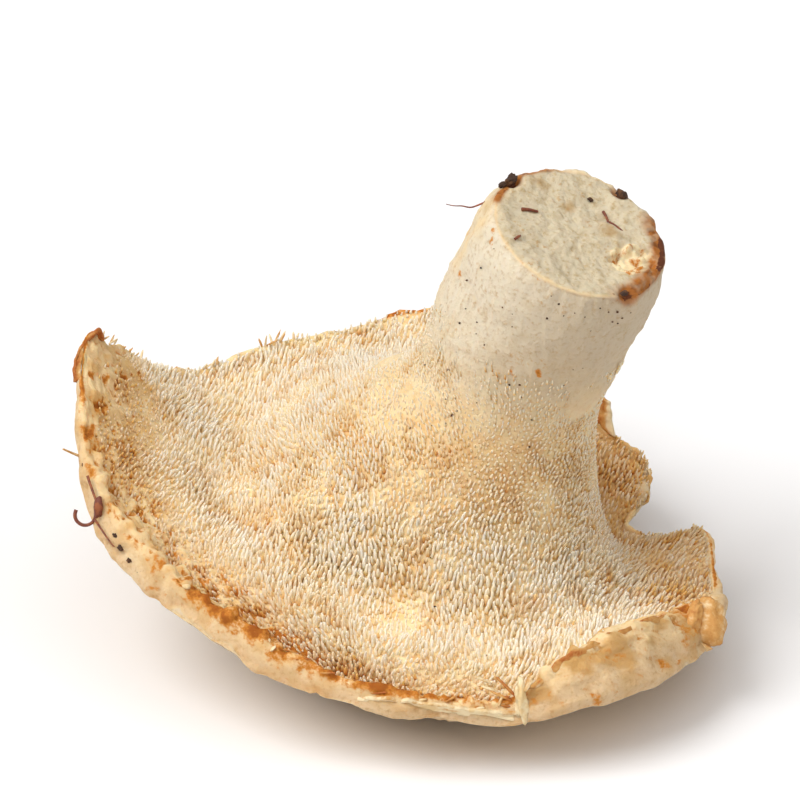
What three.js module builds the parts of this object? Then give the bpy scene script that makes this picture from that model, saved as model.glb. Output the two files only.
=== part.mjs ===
// Hedgehog mushroom (Hydnum), picked and laid upside down on its cap.
// The cap, the field of spines under it and the cut stem grew as one piece, so
// they are one closed solid. Millimetres, +Z up. Around the mushroom the
// surface is a loft: every meridian runs from the middle of the cap's skin,
// over the rim and down into the spine field, then up the stem to the cut.
import * as THREE from 'three';

// ---- driving dimensions -----------------------------------------------------

// The cap's rim, counterclockwise seen from above. Each station holds the crest
// of the rim (x, y, z), the radius of its lip, how far the skin bulges out below
// it, and the valley of the underside between stem and rim: how far out it lies
// (0 at the stem, 1 at the crest) and how high.
const rimStations = [
  { crest: [41.4, -10.0, 9.4], lip: 2.0, bulge: 0.8, valleyAt: 0.62, valleyZ: 8.5 },
  { crest: [41.0, -2.5, 8.6], lip: 1.4, bulge: 0.0, valleyAt: 0.62, valleyZ: 8.0 },
  { crest: [39.6, 5.0, 9.8], lip: 1.2, bulge: 0.0, valleyAt: 0.62, valleyZ: 8.0 },
  { crest: [34.4, 9.5, 7.0], lip: 1.2, bulge: 0.0, valleyAt: 0.66, valleyZ: 7.4 },
  { crest: [30.0, 13.5, 6.4], lip: 1.2, bulge: 0.0, valleyAt: 0.73, valleyZ: 7.0 },
  { crest: [33.0, 19.0, 8.6], lip: 1.4, bulge: 0.0, valleyAt: 0.64, valleyZ: 7.4 },
  { crest: [32.2, 24.0, 10.8], lip: 1.6, bulge: 0.0, valleyAt: 0.66, valleyZ: 8.6 },
  { crest: [26.2, 29.0, 13.6], lip: 1.8, bulge: 0.0, valleyAt: 0.75, valleyZ: 12.0 },
  { crest: [12.0, 37.5, 25.2], lip: 2.0, bulge: 0.0, valleyAt: 0.84, valleyZ: 22.6 },
  { crest: [2.5, 38.5, 25.5], lip: 2.0, bulge: 0.0, valleyAt: 0.86, valleyZ: 23.0 },
  { crest: [-8.0, 37.0, 23.4], lip: 2.0, bulge: 0.0, valleyAt: 0.86, valleyZ: 21.8 },
  { crest: [-18.0, 34.0, 22.6], lip: 2.0, bulge: 0.0, valleyAt: 0.85, valleyZ: 20.8 },
  { crest: [-26.5, 27.5, 22.6], lip: 2.0, bulge: 0.0, valleyAt: 0.80, valleyZ: 19.6 },
  { crest: [-32.5, 21.0, 26.6], lip: 2.0, bulge: 0.0, valleyAt: 0.74, valleyZ: 19.2 },
  { crest: [-37.0, 14.0, 33.2], lip: 1.6, bulge: 0.0, valleyAt: 0.68, valleyZ: 18.8 },
  { crest: [-40.0, 8.5, 37.0], lip: 1.4, bulge: 0.0, valleyAt: 0.65, valleyZ: 18.3 },
  { crest: [-41.4, 0.5, 33.5], lip: 2.0, bulge: 0.2, valleyAt: 0.62, valleyZ: 17.8 },
  { crest: [-40.2, -8.0, 28.0], lip: 2.8, bulge: 0.6, valleyAt: 0.60, valleyZ: 17.0 },
  { crest: [-36.6, -14.5, 24.6], lip: 3.2, bulge: 1.0, valleyAt: 0.60, valleyZ: 16.5 },
  { crest: [-31.8, -20.5, 21.8], lip: 3.4, bulge: 1.1, valleyAt: 0.59, valleyZ: 16.0 },
  { crest: [-26.0, -26.0, 19.2], lip: 3.4, bulge: 1.3, valleyAt: 0.58, valleyZ: 15.0 },
  { crest: [-19.5, -31.0, 16.8], lip: 3.2, bulge: 1.3, valleyAt: 0.56, valleyZ: 14.0 },
  { crest: [-12.0, -35.0, 14.4], lip: 3.0, bulge: 1.0, valleyAt: 0.55, valleyZ: 13.0 },
  { crest: [-4.0, -38.0, 12.6], lip: 2.8, bulge: 0.4, valleyAt: 0.55, valleyZ: 12.5 },
  { crest: [5.0, -39.4, 11.6], lip: 2.6, bulge: 0.0, valleyAt: 0.56, valleyZ: 12.0 },
  { crest: [14.0, -38.8, 11.0], lip: 2.8, bulge: 0.8, valleyAt: 0.58, valleyZ: 11.5 },
  { crest: [22.0, -35.2, 15.2], lip: 3.8, bulge: 2.4, valleyAt: 0.60, valleyZ: 11.0 },
  { crest: [29.5, -29.0, 16.0], lip: 4.2, bulge: 3.8, valleyAt: 0.62, valleyZ: 10.5 },
  { crest: [36.4, -20.5, 13.2], lip: 3.6, bulge: 3.0, valleyAt: 0.62, valleyZ: 9.5 },
];

// The skin from the middle of the cap out to the rim: how far out (0 to 1) and
// how high as a share of the crest's height, at the front and at the back.
const skinMiddle = new THREE.Vector2(7, -3);
const skinProfile = [
  { reach: 0.0, front: 0.0, back: 0.0 },
  { reach: 0.28, front: 0.0, back: 0.0 },
  { reach: 0.5, front: 0.07, back: 0.09 },
  { reach: 0.72, front: 0.25, back: 0.3 },
  { reach: 0.88, front: 0.55, back: 0.58 },
  { reach: 0.965, front: 0.82, back: 0.82 },
];

// The stem's centre line from the cut downwards, and its radius along it.
const stemStops = [
  { down: 0, centre: [23.4, -5.0, 60.9], radius: 11.6, lean: 1.0 },
  { down: 2.5, centre: [22.5, -4.5, 58.6], radius: 12.9, lean: 1.0 },
  { down: 14, centre: [18.4, -2.2, 48.0], radius: 13.2, lean: 0.8 },
  { down: 28, centre: [13.5, 0.2, 34.5], radius: 12.8, lean: 0.6 },
];
const cutNormal = new THREE.Vector3(0.316, -0.217, 0.923).normalize();
const cutHollow = 0.4;            // the cut face is dished by this much
const stemFoot = new THREE.Vector2(12, 2.5);

// The flare where the stem widens into the cap is steep on the right of the
// mushroom and broad on its left; both numbers swing with the bearing.
const flareOut = { mean: 0.62, swing: 0.22 };
const flareSag = { mean: 0.3, swing: 0.25 };

// The spines
const spineLength = 3.4;
const spineDirection = new THREE.Vector3(0.12, -0.1, 1).normalize();
const spineLeanToAxis = 0.55;     // 0 stands square to the surface, 1 follows the axis
const narrowCell = 1.7;           // narrower cells than this take every second spine
const spineScatter = { around: 0.5, along: 0.25 };   // as a share of a sector and of a span

// Fineness of the loft
const sectors = 98;
const ringsPerSpan = { skin: 2, lip: 2, spineField: [3, 3, 3, 3], stem: 2 };

// ---- the loft ---------------------------------------------------------------

const closedCurve = (values) => new THREE.CatmullRomCurve3(
  values.map((value) => new THREE.Vector3(...value)), true, 'catmullrom', 0.5);

const crestCurve = closedCurve(rimStations.map((s) => s.crest));
const edgeCurve = closedCurve(rimStations.map((s) => [s.lip, s.bulge, 0]));
const valleyCurve = closedCurve(rimStations.map((s) => [s.valleyAt, s.valleyZ, 0]));

// A point on the stem's wall at one of its stops, at a bearing about its axis.
function stemPoint(stop, bearing, radius = stop.radius) {
  const up = new THREE.Vector3(0, 0, 1).lerp(cutNormal, stop.lean).normalize();
  const right = new THREE.Vector3(1, 0, 0).addScaledVector(up, -up.x).normalize();
  const away = new THREE.Vector3().crossVectors(up, right);
  return new THREE.Vector3(...stop.centre)
    .addScaledVector(right, Math.cos(bearing) * radius)
    .addScaledVector(away, Math.sin(bearing) * radius);
}

// The control points of one meridian; u runs once around the rim.
function meridianPoints(u) {
  const crest = crestCurve.getPoint(u);
  const edge = edgeCurve.getPoint(u);
  const lip = edge.x;
  const bulge = edge.y;
  const valleyPlace = valleyCurve.getPoint(u);
  const points = [];

  const outward = new THREE.Vector2(crest.x, crest.y).sub(skinMiddle);
  const reach = outward.length();
  outward.normalize();
  const backness = 0.5 + 0.5 * outward.y;
  const along = (distance, height) => new THREE.Vector3(
    skinMiddle.x + outward.x * distance, skinMiddle.y + outward.y * distance, height);
  for (const stop of skinProfile) {
    const share = THREE.MathUtils.lerp(stop.front, stop.back, backness);
    points.push(along(reach * stop.reach + bulge * stop.reach ** 4, crest.z * share));
  }

  // the rolled lip: its outer side, its crest and its inner side
  points.push(along(reach + 0.35 * lip + bulge, crest.z - lip * (0.9 + 0.12 * bulge)));
  points.push(crest);
  const inward = stemFoot.clone().sub(new THREE.Vector2(crest.x, crest.y)).normalize();
  const innerLip = new THREE.Vector3(
    crest.x + inward.x * 1.1 * lip, crest.y + inward.y * 1.1 * lip, crest.z - lip);
  points.push(innerLip);

  // the underside: down into the valley, then up the flare to the stem
  const bearing = Math.atan2(crest.y - stemFoot.y, crest.x - stemFoot.x);
  const valley = new THREE.Vector3(
    THREE.MathUtils.lerp(stemFoot.x, crest.x, valleyPlace.x),
    THREE.MathUtils.lerp(stemFoot.y, crest.y, valleyPlace.x),
    valleyPlace.y);
  const slope = innerLip.clone().lerp(valley, 0.5);
  slope.z = THREE.MathUtils.lerp(valley.z, innerLip.z, 0.36);
  const base = stemPoint(stemStops[3], bearing);
  const flareShare = flareOut.mean + flareOut.swing * Math.cos(bearing);
  const sag = flareSag.mean + flareSag.swing * Math.cos(bearing);
  const flare = valley.clone().lerp(base, flareShare);
  flare.z = THREE.MathUtils.lerp(valley.z, base.z, flareShare - sag);
  points.push(slope, valley, flare, base);

  points.push(stemPoint(stemStops[2], bearing));
  points.push(stemPoint(stemStops[1], bearing));
  points.push(stemPoint(stemStops[0], bearing));
  const hollow = cutNormal.clone().multiplyScalar(-cutHollow);
  points.push(stemPoint(stemStops[0], bearing, stemStops[0].radius / 2).add(hollow));
  points.push(new THREE.Vector3(...stemStops[0].centre).add(hollow));
  return points;
}

// Spans of a meridian, counted by its control points.
const crestAt = skinProfile.length + 1;
const innerLipAt = crestAt + 1;
const stemBaseAt = innerLipAt + 4;
const cutEdgeAt = stemBaseAt + 3;
const cutMiddleAt = cutEdgeAt + 2;

function ringPlaces() {
  const places = [0];
  const span = (from, count) => {
    for (let step = 1; step <= count; step += 1) places.push(from + step / count);
  };
  for (let k = 0; k < skinProfile.length - 1; k += 1) span(k, ringsPerSpan.skin);
  for (let k = skinProfile.length - 1; k < innerLipAt; k += 1) span(k, ringsPerSpan.lip);
  ringsPerSpan.spineField.forEach((count, k) => span(innerLipAt + k, count));
  for (let k = stemBaseAt; k < cutEdgeAt; k += 1) span(k, ringsPerSpan.stem);
  span(cutEdgeAt, 1);
  span(cutEdgeAt + 1, 1);
  return places;
}

// A repeatable number between -0.5 and 0.5 that differs from cell to cell.
function scatter(ring, sector) {
  const wave = Math.sin(ring * 12.9898 + sector * 78.233) * 43758.5453;
  return wave - Math.floor(wave) - 0.5;
}

function surfacePoint(u, place) {
  const meridian = new THREE.CatmullRomCurve3(meridianPoints(u), false, 'centripetal');
  const point = meridian.getPoint(place / cutMiddleAt);
  if (place < crestAt - 1) point.z = Math.max(point.z, 0);   // the skin rests flat
  return point;
}

function buildRings(places) {
  return places.map((place, ring) => {
    const loose = place > innerLipAt && place < stemBaseAt ? 1 : 0;
    const points = [];
    for (let i = 0; i < sectors; i += 1) {
      const around = loose * spineScatter.around * scatter(ring, i);
      const along = loose * spineScatter.along * scatter(ring + 0.5, i);
      points.push(surfacePoint((i + around + 1) / sectors % 1, place + along));
    }
    return points;
  });
}

// ---- the solid --------------------------------------------------------------

function buildMushroom() {
  const places = ringPlaces();
  const rings = buildRings(places);
  const positions = [];
  const triangle = (a, b, c) => positions.push(...a.toArray(), ...b.toArray(), ...c.toArray());

  // A spine is a pyramid on one cell; it is shorter at both edges of the field.
  const spine = (a, b, c, d, place) => {
    const middle = a.clone().add(b).add(c).add(d).multiplyScalar(0.25);
    const normal = new THREE.Vector3()
      .crossVectors(c.clone().sub(a), d.clone().sub(b)).normalize();
    const direction = normal.lerp(spineDirection, spineLeanToAxis).normalize();
    const field = (place - innerLipAt) / (stemBaseAt - innerLipAt);
    const length = spineLength * Math.min(1, 0.55 + 2.5 * field, 0.2 + 1.7 * (1 - field));
    const tip = middle.addScaledVector(direction, length);
    triangle(a, b, tip);
    triangle(b, c, tip);
    triangle(c, d, tip);
    triangle(d, a, tip);
  };

  for (let r = 0; r < rings.length - 1; r += 1) {
    const inField = places[r] >= innerLipAt && places[r] < stemBaseAt;
    for (let i = 0; i < sectors; i += 1) {
      const j = (i + 1) % sectors;
      const a = rings[r][i];
      const b = rings[r][j];
      const c = rings[r + 1][j];
      const d = rings[r + 1][i];
      if (r === 0) triangle(rings[0][0], c, d);
      else if (r === rings.length - 2) triangle(a, b, rings[r + 1][0]);
      else if (inField && (a.distanceTo(b) > narrowCell || (i + r) % 2 === 0)) {
        spine(a, b, c, d, places[r]);
      } else {
        triangle(a, b, c);
        triangle(a, c, d);
      }
    }
  }
  const geometry = new THREE.BufferGeometry();
  geometry.setAttribute('position', new THREE.Float32BufferAttribute(positions, 3));
  geometry.computeVertexNormals();
  return geometry;
}

const flesh = new THREE.MeshStandardMaterial({ color: 0xe3cba3, roughness: 0.82, metalness: 0 });

const group = new THREE.Group();
const mushroom = new THREE.Mesh(buildMushroom(), flesh);
mushroom.name = 'hedgehog_mushroom';

// The origin is at the middle of the footprint, on the surface it rests on.
mushroom.geometry.computeBoundingBox();
const box = mushroom.geometry.boundingBox;
mushroom.position.set(-(box.min.x + box.max.x) / 2, -(box.min.y + box.max.y) / 2, -box.min.z);
group.add(mushroom);

export default group;
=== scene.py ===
import bpy
import math
import random
import numpy as np
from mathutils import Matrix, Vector, kdtree, noise


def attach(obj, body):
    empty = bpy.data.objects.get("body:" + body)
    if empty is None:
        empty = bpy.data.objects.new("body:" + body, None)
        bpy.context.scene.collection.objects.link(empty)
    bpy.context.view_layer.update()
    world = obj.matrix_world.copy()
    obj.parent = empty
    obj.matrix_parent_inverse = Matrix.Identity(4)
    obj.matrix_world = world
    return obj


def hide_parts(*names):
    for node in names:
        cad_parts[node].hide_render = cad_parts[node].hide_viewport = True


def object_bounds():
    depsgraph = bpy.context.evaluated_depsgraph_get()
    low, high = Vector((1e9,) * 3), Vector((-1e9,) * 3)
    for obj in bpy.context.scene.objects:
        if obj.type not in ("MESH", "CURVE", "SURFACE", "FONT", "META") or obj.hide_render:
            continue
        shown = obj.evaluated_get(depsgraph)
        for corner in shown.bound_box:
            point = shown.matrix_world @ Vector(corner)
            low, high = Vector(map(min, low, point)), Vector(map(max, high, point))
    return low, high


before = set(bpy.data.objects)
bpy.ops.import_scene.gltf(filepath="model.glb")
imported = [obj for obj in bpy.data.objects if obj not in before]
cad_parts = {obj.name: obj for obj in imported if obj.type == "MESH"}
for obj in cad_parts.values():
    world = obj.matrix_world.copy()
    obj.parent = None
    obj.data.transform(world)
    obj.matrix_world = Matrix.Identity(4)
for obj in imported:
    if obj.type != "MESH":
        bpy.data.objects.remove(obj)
cadLow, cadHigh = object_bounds()
mm = 0.001

# the shape, in millimetres, as the CAD part has it
# Rim stations, counterclockwise from above: crest x, y, z, lip radius, bulge of the
# skin below it, then how far out the valley of the underside lies and how high.
rimStations = np.array([
    [41.4, -10.0, 9.4, 2.0, 0.8, 0.62, 8.5],
    [41.0, -2.5, 8.6, 1.4, 0.0, 0.62, 8.0],
    [39.6, 5.0, 9.8, 1.2, 0.0, 0.62, 8.0],
    [34.4, 9.5, 7.0, 1.2, 0.0, 0.66, 7.4],
    [30.0, 13.5, 6.4, 1.2, 0.0, 0.73, 7.0],
    [33.0, 19.0, 8.6, 1.4, 0.0, 0.64, 7.4],
    [32.2, 24.0, 10.8, 1.6, 0.0, 0.66, 8.6],
    [26.2, 29.0, 13.6, 1.8, 0.0, 0.75, 12.0],
    [12.0, 37.5, 25.2, 2.0, 0.0, 0.84, 22.6],
    [2.5, 38.5, 25.5, 2.0, 0.0, 0.86, 23.0],
    [-8.0, 37.0, 23.4, 2.0, 0.0, 0.86, 21.8],
    [-18.0, 34.0, 22.6, 2.0, 0.0, 0.85, 20.8],
    [-26.5, 27.5, 22.6, 2.0, 0.0, 0.80, 19.6],
    [-32.5, 21.0, 26.6, 2.0, 0.0, 0.74, 19.2],
    [-37.0, 14.0, 33.2, 1.6, 0.0, 0.68, 18.8],
    [-40.0, 8.5, 37.0, 1.4, 0.0, 0.65, 18.3],
    [-41.4, 0.5, 33.5, 2.0, 0.2, 0.62, 17.8],
    [-40.2, -8.0, 28.0, 2.8, 0.6, 0.60, 17.0],
    [-36.6, -14.5, 24.6, 3.2, 1.0, 0.60, 16.5],
    [-31.8, -20.5, 21.8, 3.4, 1.1, 0.59, 16.0],
    [-26.0, -26.0, 19.2, 3.4, 1.3, 0.58, 15.0],
    [-19.5, -31.0, 16.8, 3.2, 1.3, 0.56, 14.0],
    [-12.0, -35.0, 14.4, 3.0, 1.0, 0.55, 13.0],
    [-4.0, -38.0, 12.6, 2.8, 0.4, 0.55, 12.5],
    [5.0, -39.4, 11.6, 2.6, 0.0, 0.56, 12.0],
    [14.0, -38.8, 11.0, 2.8, 0.8, 0.58, 11.5],
    [22.0, -35.2, 15.2, 3.8, 2.4, 0.60, 11.0],
    [29.5, -29.0, 16.0, 4.2, 3.8, 0.62, 10.5],
    [36.4, -20.5, 13.2, 3.6, 3.0, 0.62, 9.5],
])
skinMiddle = np.array([7.0, -3.0, 0.0])
skinProfile = {"reach": [0.0, 0.28, 0.5, 0.72, 0.88, 0.965],
               "front": [0.0, 0.0, 0.07, 0.25, 0.55, 0.82],
               "back": [0.0, 0.0, 0.09, 0.3, 0.58, 0.82]}
# the stem's stops: centre, radius and how far the section leans with the cut
stemStops = {"cut": ([23.4, -5.0, 60.9], 11.4, 1.0), "shoulder": ([22.5, -4.5, 58.6], 12.5, 1.0),
             "middle": ([18.4, -2.2, 48.0], 12.9, 0.8), "base": ([13.5, 0.2, 34.5], 12.8, 0.6)}
cutNormal = np.array([0.316, -0.217, 0.923]) / np.linalg.norm([0.316, -0.217, 0.923])
stemFoot = np.array([12.0, 2.5])
cutHollow = 0.4
flare = {"out": 0.62, "outSwing": 0.22, "sag": 0.3, "sagSwing": 0.25}

# Places along a meridian are counted by its control points:
# 5 wall of the skin, 7 crest, 8 inner lip, 9 slope, 10 valley, 11 flare, 12 base of the stem,
# 13 its middle, 14 shoulder, 15 edge of the cut, 17 middle of the cut
outerLipAt, lastPlace = 6, 17


def unit(vector):
    return np.asarray(vector, dtype=float) / np.linalg.norm(vector)


def unitRows(rows):
    return rows / np.linalg.norm(rows, axis=1)[:, None]


def closedSpline(values, u):
    count = len(values)
    place = (u % 1.0) * count
    i = np.floor(place).astype(int)
    w = (place - i)[:, None]
    a, b, c, d = (values[(i + k) % count] for k in (-1, 0, 1, 2))
    return 0.5 * (2 * b + (c - a) * w + (2 * a - 5 * b + 4 * c - d) * w**2 + (3 * b - a - 3 * c + d) * w**3)


def openSpline(points, places):
    ends = np.concatenate([[2 * points[0] - points[1]], points, [2 * points[-1] - points[-2]]])
    rows = []
    for place in places:
        i = min(int(place), len(points) - 2)
        w = place - i
        a, b, c, d = ends[i:i + 4]
        ab, bc, cd = (np.maximum(np.sum((q - p)**2, -1)**0.25, 1e-4)[:, None]
                      for p, q in ((a, b), (b, c), (c, d)))
        m1 = ((b - a) / ab - (c - a) / (ab + bc) + (c - b) / bc) * bc
        m2 = ((c - b) / bc - (d - b) / (bc + cd) + (d - c) / cd) * bc
        rows.append(b + m1 * w + (3 * c - 3 * b - 2 * m1 - m2) * w**2 + (2 * b - 2 * c + m1 + m2) * w**3)
    return np.array(rows)


def stemPoints(stop, bearing, share=1.0):
    centre, radius, lean = stemStops[stop]
    up = unit(cutNormal * lean + np.array([0.0, 0.0, 1.0 - lean]))
    right = unit(np.array([1.0, 0.0, 0.0]) - up[0] * up)
    away = np.cross(up, right)
    turn = np.cos(bearing)[:, None] * right + np.sin(bearing)[:, None] * away
    return np.array(centre) + turn * radius * share


def meridianPoints(u):
    stations = closedSpline(rimStations, u)
    crest = stations[:, :3]
    lip, bulge, valleyAt, valleyZ = stations[:, 3:].T
    outward = crest - skinMiddle
    outward[:, 2] = 0
    reach = np.linalg.norm(outward, axis=1)
    outward /= reach[:, None]
    backness = 0.5 + 0.5 * outward[:, 1]
    points = []
    for share, front, back in zip(*skinProfile.values()):
        p = skinMiddle + outward * (reach * share + bulge * share**4)[:, None]
        p[:, 2] = crest[:, 2] * (front + (back - front) * backness)
        points.append(p)
    side = crest + outward * (0.35 * lip + bulge)[:, None]
    side[:, 2] = crest[:, 2] - lip * (0.9 + 0.12 * bulge)
    inward = np.zeros_like(crest)
    inward[:, :2] = stemFoot - crest[:, :2]
    inward = unitRows(inward)
    innerLip = crest + inward * (1.1 * lip)[:, None]
    innerLip[:, 2] = crest[:, 2] - lip
    points += [side, crest, innerLip]
    bearing = np.arctan2(crest[:, 1] - stemFoot[1], crest[:, 0] - stemFoot[0])
    valley = np.empty_like(crest)
    valley[:, :2] = stemFoot + (crest[:, :2] - stemFoot) * valleyAt[:, None]
    valley[:, 2] = valleyZ
    slope = (innerLip + valley) / 2
    slope[:, 2] = valleyZ + 0.36 * (innerLip[:, 2] - valleyZ)
    base = stemPoints("base", bearing)
    out = flare["out"] + flare["outSwing"] * np.cos(bearing)
    sag = flare["sag"] + flare["sagSwing"] * np.cos(bearing)
    foot = valley + (base - valley) * out[:, None]
    foot[:, 2] = valleyZ + (out - sag) * (base[:, 2] - valleyZ)
    points += [slope, valley, foot, base]
    points += [stemPoints(stop, bearing) for stop in ("middle", "shoulder", "cut")]
    hollow = -cutNormal * cutHollow
    points += [stemPoints("cut", bearing, 0.5) + hollow, stemPoints("cut", bearing, 0.0) + hollow]
    return np.array(points)


def surface(u, places):
    rows = openSpline(meridianPoints(u), places)
    flat = np.array(places) < outerLipAt
    rows[flat, :, 2] = np.maximum(rows[flat, :, 2], 0)
    return rows


manyTurns = np.linspace(0, 1, 720, endpoint=False)
outline = surface(manyTurns, np.linspace(0, lastPlace, 120))
rowShift = -(outline.min((0, 1)) + outline.max((0, 1))) / 2
rowShift[2] = 0
rowShift[:2] += [(cadLow.x + cadHigh.x) / 2 / mm, (cadLow.y + cadHigh.y) / 2 / mm]
print("shape ready")


# shared helpers
def smooth(value, low, high):
    w = np.clip((value - low) / (high - low), 0, 1)
    return w * w * (3 - 2 * w)


def between(value, low, high, soft):
    return smooth(value, low - soft, low + soft) * (1 - smooth(value, high - soft, high + soft))


def stationSpan(u, first, last, soft=0.8):
    # 1 from one rim station round to another, soft at both ends, else 0
    count = len(rimStations)
    half = ((last - first) % count) / 2
    away = np.abs((u * count - first - half + count / 2) % count - count / 2)
    return 1 - smooth(away, half - soft, half + soft)


def bumps(points, size, seed=0, octaves=2):
    shift = Vector((seed * 17.3, seed * 5.1, seed * 9.7))
    flat = points.reshape(-1, 3) / size
    made = [noise.fractal(Vector(p) + shift, 1.0, 2.0, octaves) for p in flat]
    return np.array(made).reshape(points.shape[:-1])


def cells(points, size, seed=0):
    # distance to the nearest cell middle, 0 to about 1
    shift = Vector((seed * 11.9, seed * 7.7, seed * 3.1))
    flat = points.reshape(-1, 3) / size
    made = [noise.voronoi(Vector(p) + shift)[0][0] for p in flat]
    return np.array(made).reshape(points.shape[:-1])


def wobble(points, size, seed):
    # three fields of bumps, as a small move of each point
    return np.stack([bumps(points, size, seed + k) for k in range(3)], axis=-1)


def gridNormals(rows):
    around = np.roll(rows, -1, 1) - np.roll(rows, 1, 1)
    along = np.gradient(rows, axis=0)
    normals = np.cross(around, along)
    return normals / np.maximum(np.linalg.norm(normals, axis=-1, keepdims=True), 1e-9)


def selectOnly(*objects):
    bpy.ops.object.select_all(action="DESELECT")
    for obj in objects:
        obj.select_set(True)
    if objects:
        bpy.context.view_layer.objects.active = objects[0]


def getPoints(obj):
    return np.array([v.co for v in obj.data.vertices])


def setPoints(obj, points):
    obj.data.vertices.foreach_set("co", np.asarray(points, dtype=np.float32).ravel())
    obj.data.update()


def setMask(obj, name, values):
    masks = obj.data.attributes
    layer = masks.get(name) or masks.new(name, "FLOAT", "POINT")
    layer.data.foreach_set("value", np.broadcast_to(values, len(obj.data.vertices)).astype(np.float32))


def keepPiece(obj, name, material):
    obj.name = name
    obj.data.name = name
    obj.data.materials.clear()
    obj.data.materials.append(material)
    selectOnly(obj)
    bpy.ops.object.shade_smooth_by_angle(angle=math.radians(180))
    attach(obj, "root")


imageUp = np.array([0.0, 0.5, math.sqrt(0.75)])      # up and across as the camera sees them
imageRight = np.array([1.0, 0.0, 0.0])


def spotOn(station, place):
    # a point of the surface and the direction away from it
    u = (station + np.array([-0.05, 0.0, 0.05])) / len(rimStations)
    rows = surface(u, [place - 0.05, place, place + 0.05])
    return rows[1, 1], unit(np.cross(rows[1, 2] - rows[1, 0], rows[2, 1] - rows[0, 1]))


def linear(hexColour):
    parts = [int(hexColour[i:i + 2], 16) / 255 for i in (0, 2, 4)]
    return tuple(c / 12.92 if c <= 0.04045 else ((c + 0.055) / 1.055)**2.4 for c in parts) + (1.0,)


# nodes
def plug(made, values):
    # gives inputs their values, or a link where the value comes from another node
    for socket, value in values.items():
        if isinstance(value, bpy.types.NodeSocket):
            made.id_data.links.new(value, made.inputs[socket])
        else:
            made.inputs[socket].default_value = value
    return made


def addNode(tree, kind, inputs=None, **settings):
    made = tree.nodes.new(kind)
    for name, value in settings.items():
        setattr(made, name, value)
    return plug(made, inputs or {})


def mixColours(tree, factor, first, second):
    return addNode(tree, "ShaderNodeMix", {0: factor, 6: first, 7: second}, data_type="RGBA").outputs[2]


def ease(tree, value, low, high, out=(0.0, 1.0)):
    made = addNode(tree, "ShaderNodeMapRange",
                   {"Value": value, "From Min": low, "From Max": high, "To Min": out[0], "To Max": out[1]},
                   interpolation_type="SMOOTHSTEP")
    return made.outputs[0]


def maths(tree, operation, first, second=0.0):
    return addNode(tree, "ShaderNodeMath", {0: first, 1: second}, operation=operation).outputs[0]


def mask(tree, name):
    return addNode(tree, "ShaderNodeAttribute", attribute_name=name).outputs["Fac"]


def layOver(tree, colour, coats):
    # each coat is how much of it shows, then its colour
    for level, paint in coats:
        colour = mixColours(tree, level, colour, linear(paint) if isinstance(paint, str) else paint)
    return colour


def newGroup(name, inputs, outputs):
    group = bpy.data.node_groups.new(name, "ShaderNodeTree")
    for side, sockets in (("INPUT", inputs), ("OUTPUT", outputs)):
        for socket, value in sockets.items():
            kind = "NodeSocketColor" if isinstance(value, tuple) else "NodeSocketFloat"
            group.interface.new_socket(name=socket, in_out=side, socket_type=kind).default_value = value
    given = group.nodes.new("NodeGroupInput").outputs
    return group, given, group.nodes.new("NodeGroupOutput"), addNode(group, "ShaderNodeTexCoord").outputs["Object"]


def useGroup(tree, group, values):
    return addNode(tree, "ShaderNodeGroup", values, node_tree=group).outputs


def addNoise(tree, place, scale, **values):
    return addNode(tree, "ShaderNodeTexNoise", {"Vector": place, "Scale": scale, **values}).outputs[0]


# soft patches of one colour in another
def makeMottle():
    group, given, result, place = newGroup(
        "mottle", {"Colour": (1, 1, 1, 1), "Patch": (0, 0, 0, 1), "Scale": 200.0, "Cover": 0.5, "Amount": 1.0,
                   "Soft": 0.14}, {"Colour": (0, 0, 0, 1), "Mask": 0.0})
    grain = addNoise(group, place, given["Scale"], Detail=4.0, Roughness=0.6)
    low = maths(group, "SUBTRACT", 0.64, maths(group, "MULTIPLY", given["Cover"], 0.36))
    patch = ease(group, grain, low, maths(group, "ADD", low, given["Soft"]))
    amount = maths(group, "MULTIPLY", patch, given["Amount"])
    plug(result, {"Colour": mixColours(group, amount, given["Colour"], given["Patch"]), "Mask": amount})
    return group


# small round dark specks, scattered
def makeSpecks():
    group, given, result, place = newGroup("specks", {"Scale": 500.0, "Cover": 0.1, "Size": 0.2}, {"Mask": 0.0})
    dots = addNode(group, "ShaderNodeTexVoronoi", {"Vector": place, "Scale": given["Scale"]})
    chosen = maths(group, "LESS_THAN", dots.outputs["Color"], given["Cover"])
    near = ease(group, dots.outputs["Distance"], given["Size"], maths(group, "MULTIPLY", given["Size"], 0.6))
    plug(result, {"Mask": maths(group, "MULTIPLY", chosen, near)})
    return group


# fine felt: two sizes of grain as one height
def makeFelt():
    group, given, result, place = newGroup("felt", {"Scale": 900.0, "Coarse": 0.5}, {"Height": 0.0})
    fine = addNoise(group, place, given["Scale"], Detail=5.0, Roughness=0.65)
    broad = addNoise(group, place, maths(group, "MULTIPLY", given["Scale"], 0.3), Detail=3.0)
    plug(result, {"Height": maths(group, "ADD", fine, maths(group, "MULTIPLY", broad, given["Coarse"]))})
    return group


mottle, specks, felt = makeMottle(), makeSpecks(), makeFelt()


def mottled(tree, values, output="Colour"):
    # scale, cover, amount and softness, then the two colours if they matter
    names = ("Scale", "Cover", "Amount", "Soft", "Colour", "Patch")
    values = [linear(value) if isinstance(value, str) else value for value in values]
    return useGroup(tree, mottle, dict(zip(names, values)))[output]


def speckled(tree, *values):
    return useGroup(tree, specks, dict(zip(("Scale", "Cover", "Size"), values)))["Mask"]


def felted(tree, scale, coarse):
    return useGroup(tree, felt, {"Scale": scale, "Coarse": coarse})["Height"]


def newMaterial(name, roughness):
    material = bpy.data.materials.new(name)
    material.use_nodes = True
    shader = plug(material.node_tree.nodes["Principled BSDF"], {"Roughness": roughness})
    return material, material.node_tree, shader


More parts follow.
